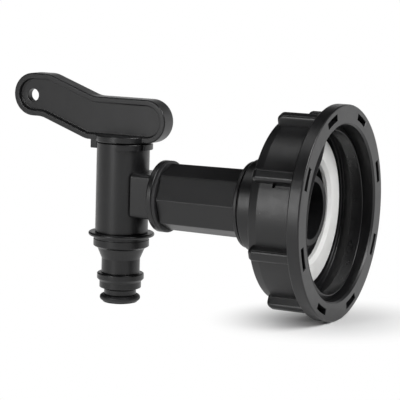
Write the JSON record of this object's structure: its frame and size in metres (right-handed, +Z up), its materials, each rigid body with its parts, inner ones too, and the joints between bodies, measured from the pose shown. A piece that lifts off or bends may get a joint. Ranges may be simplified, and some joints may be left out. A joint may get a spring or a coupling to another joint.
{
  "type": "ibc tank valve",
  "caption": "Black plastic quarter-turn tap with an S-shaped lever, a hose nipple underneath, an octagonal extension and a large ribbed screw collar with a white gasket.",
  "frame": {"origin": "centre of the coupling nut's mouth, on the flow axis", "axes": "+X along the flow axis out of the nut's mouth, into the tank; +Z up along the plug's axis, towards the lever; +Y to the side"},
  "size_m": [0.1304, 0.0746, 0.0816],
  "materials": {
    "black_plastic": "satin moulded, fine grain",
    "black_rubber": "smooth",
    "white_seal": "smooth matt",
    "screw_steel": "plain"
  },
  "bodies": {
    "valve": {"extension_pipe": "black_plastic", "flange_hub": "black_plastic", "joint_washer": "black_rubber", "tank_gasket": "white_seal", "tail_washer": "black_rubber", "tap_body": "black_plastic", "inlet_seat": "black_rubber", "foot_washer": "black_rubber", "hose_nozzle": "black_plastic", "nozzle_o_ring": "black_rubber"},
    "lever": {"lever_handle": "black_plastic", "valve_plug": "black_plastic", "upper_plug_o_ring": "black_rubber", "lower_plug_o_ring": "black_rubber", "plug_screw": "screw_steel"},
    "nut": {"coupling_nut": "black_plastic"}
  },
  "joints": [
    {"name": "lever_turn", "type": "hinge", "parent": "valve", "child": "lever", "pos_m": [-0.08586, 0, 0], "axis": [0, 0, 1], "range_deg": [0, 90]},
    {"name": "nut_turn", "type": "hinge", "parent": "valve", "child": "nut", "pos_m": [0, 0, 0], "axis": [1, 0, 0], "continuous": true}
  ]
}
